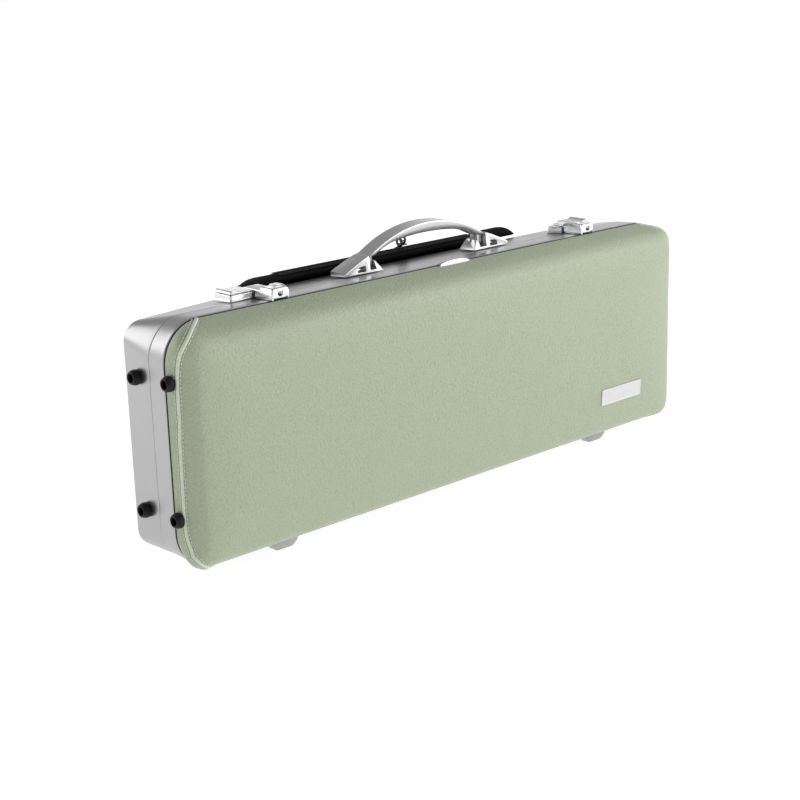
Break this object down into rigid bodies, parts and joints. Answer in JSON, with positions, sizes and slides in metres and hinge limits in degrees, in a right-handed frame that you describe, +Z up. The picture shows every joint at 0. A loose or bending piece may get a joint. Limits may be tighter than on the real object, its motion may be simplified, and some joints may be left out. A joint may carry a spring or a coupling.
{
  "type": "violin case",
  "caption": "Oblong hard violin case in leathercloth with a metal frame, hinged lid, latches, carry handle and a zipped pocket; fitted interior.",
  "frame": {"origin": "centre of the bounding box's base, on the plane that the four feet stand on", "axes": "+X along the length to the case's right-hand end seen from the lid side, +Y from the lid toward the pocket, +Z up through the handle"},
  "size_m": [0.8099, 0.1691, 0.3302],
  "materials": {
    "frame_aluminium": "satin",
    "rubber_black": "matt",
    "leather_green": "pebbled, semi-matt",
    "leather_piping": "smooth",
    "plate_silver": "satin",
    "fitting_chrome": "polished",
    "foot_plastic": "satin",
    "handle_metal": "satin silver",
    "fabric_black": "woven",
    "zip_black": "coil and tape",
    "zip_metal": "black",
    "lining_grey": "short pile",
    "cushion_grey": "short pile",
    "strap_black": "webbing",
    "knob_black": "satin"
  },
  "bodies": {
    "case_back": {"rear_frame": "frame_aluminium", "frame_seal": "rubber_black", "rear_shell": "leather_green", "base_lining": "lining_grey", "foot_rear_left": "foot_plastic", "foot_rear_right": "foot_plastic", "bumper_rear_lower": "rubber_black", "bumper_rear_upper": "rubber_black", "hinge_base_left": "fitting_chrome", "hinge_base_right": "fitting_chrome", "hinge_pin_left": "fitting_chrome", "hinge_pin_right": "fitting_chrome", "handle_bracket_left": "handle_metal", "handle_bracket_right": "handle_metal", "handle_pin_left": "fitting_chrome", "handle_pin_right": "fitting_chrome", "strap_bar_left": "fitting_chrome", "strap_bar_right": "fitting_chrome", "latch_base_left": "fitting_chrome", "latch_base_right": "fitting_chrome", "pocket_panel": "fabric_black", "pocket_gusset": "fabric_black", "pocket_zip_front": "zip_black", "pocket_zip_rear": "zip_black", "violin_bed": "lining_grey", "suspension_pad_lower": "cushion_grey", "suspension_pad_upper": "cushion_grey", "neck_cradle": "cushion_grey", "neck_strap": "strap_black", "accessory_box": "lining_grey"},
    "lid": {"lid_frame": "frame_aluminium", "lid_gasket": "rubber_black", "lid_shell": "leather_green", "lid_lining": "lining_grey", "piping_left": "leather_piping", "piping_right": "leather_piping", "name_plate": "plate_silver", "finger_tab": "fitting_chrome", "foot_front_left": "foot_plastic", "foot_front_right": "foot_plastic", "bumper_front_lower": "rubber_black", "bumper_front_upper": "rubber_black", "hinge_lid_left": "fitting_chrome", "hinge_lid_right": "fitting_chrome", "latch_mount_left": "fitting_chrome", "latch_mount_right": "fitting_chrome", "bow_tip_pocket_lower": "strap_black", "bow_tip_pocket_upper": "strap_black"},
    "grip": {"handle_grip": "handle_metal"},
    "slider_left": {"latch_slider_left": "fitting_chrome"},
    "slider_right": {"latch_slider_right": "fitting_chrome"},
    "hasp_left": {"latch_hasp_left": "fitting_chrome"},
    "hasp_right": {"latch_hasp_right": "fitting_chrome"},
    "zip_slide_left": {"zip_slider_left": "zip_metal"},
    "zip_slide_right": {"zip_slider_right": "zip_metal"},
    "zip_pull_left": {"zip_puller_left": "zip_metal"},
    "zip_pull_right": {"zip_puller_right": "zip_metal"},
    "box_lid": {"accessory_lid": "lining_grey"},
    "spinner_lower": {"bow_spinner_lower": "knob_black"},
    "spinner_upper": {"bow_spinner_upper": "knob_black"}
  },
  "joints": [
    {"name": "lid_hinge", "type": "hinge", "parent": "case_back", "child": "lid", "pos_m": [0.0041, -0.01215, 0.0113], "axis": [1, 0, 0], "range_deg": [0, 105]},
    {"name": "grip_pivot", "type": "hinge", "parent": "case_back", "child": "grip", "pos_m": [0.0126, 0.00255, 0.2935], "axis": [1, 0, 0], "range_deg": [-50, 50]},
    {"name": "slider_left_slide", "type": "slide", "parent": "case_back", "child": "slider_left", "axis": [-1, 0, 0], "range_m": [0, 0.007], "stiffness_N_per_m": 300},
    {"name": "slider_right_slide", "type": "slide", "parent": "case_back", "child": "slider_right", "axis": [1, 0, 0], "range_m": [0, 0.007], "stiffness_N_per_m": 300},
    {"name": "hasp_left_hinge", "type": "hinge", "parent": "lid", "child": "hasp_left", "pos_m": [-0.2429, -0.04125, 0.2866], "axis": [1, 0, 0], "range_deg": [0, 95]},
    {"name": "hasp_right_hinge", "type": "hinge", "parent": "lid", "child": "hasp_right", "pos_m": [0.2606, -0.04125, 0.2866], "axis": [1, 0, 0], "range_deg": [0, 95]},
    {"name": "zip_left_slide", "type": "slide", "parent": "case_back", "child": "zip_slide_left", "axis": [-1, 0, 0], "range_m": [0, 0.165]},
    {"name": "zip_right_slide", "type": "slide", "parent": "case_back", "child": "zip_slide_right", "axis": [1, 0, 0], "range_m": [0, 0.105]},
    {"name": "zip_left_pull", "type": "hinge", "parent": "zip_slide_left", "child": "zip_pull_left", "pos_m": [0.0151, 0.04515, 0.29735], "axis": [1, 0, 0], "range_deg": [-55, 55]},
    {"name": "zip_right_pull", "type": "hinge", "parent": "zip_slide_right", "child": "zip_pull_right", "pos_m": [0.0281, 0.05315, 0.29795], "axis": [1, 0, 0], "range_deg": [-55, 55]},
    {"name": "box_lid_hinge", "type": "hinge", "parent": "case_back", "child": "box_lid", "pos_m": [0.3061, -0.00985, 0.0919], "axis": [1, 0, 0], "range_deg": [-90, 0]},
    {"name": "spinner_lower_turn", "type": "hinge", "parent": "lid", "child": "spinner_lower", "pos_m": [-0.2919, -0.0767, 0.115], "axis": [0, 1, 0], "range_deg": [-90, 90]},
    {"name": "spinner_upper_turn", "type": "hinge", "parent": "lid", "child": "spinner_upper", "pos_m": [-0.2919, -0.0767, 0.183], "axis": [0, 1, 0], "range_deg": [-90, 90]}
  ]
}
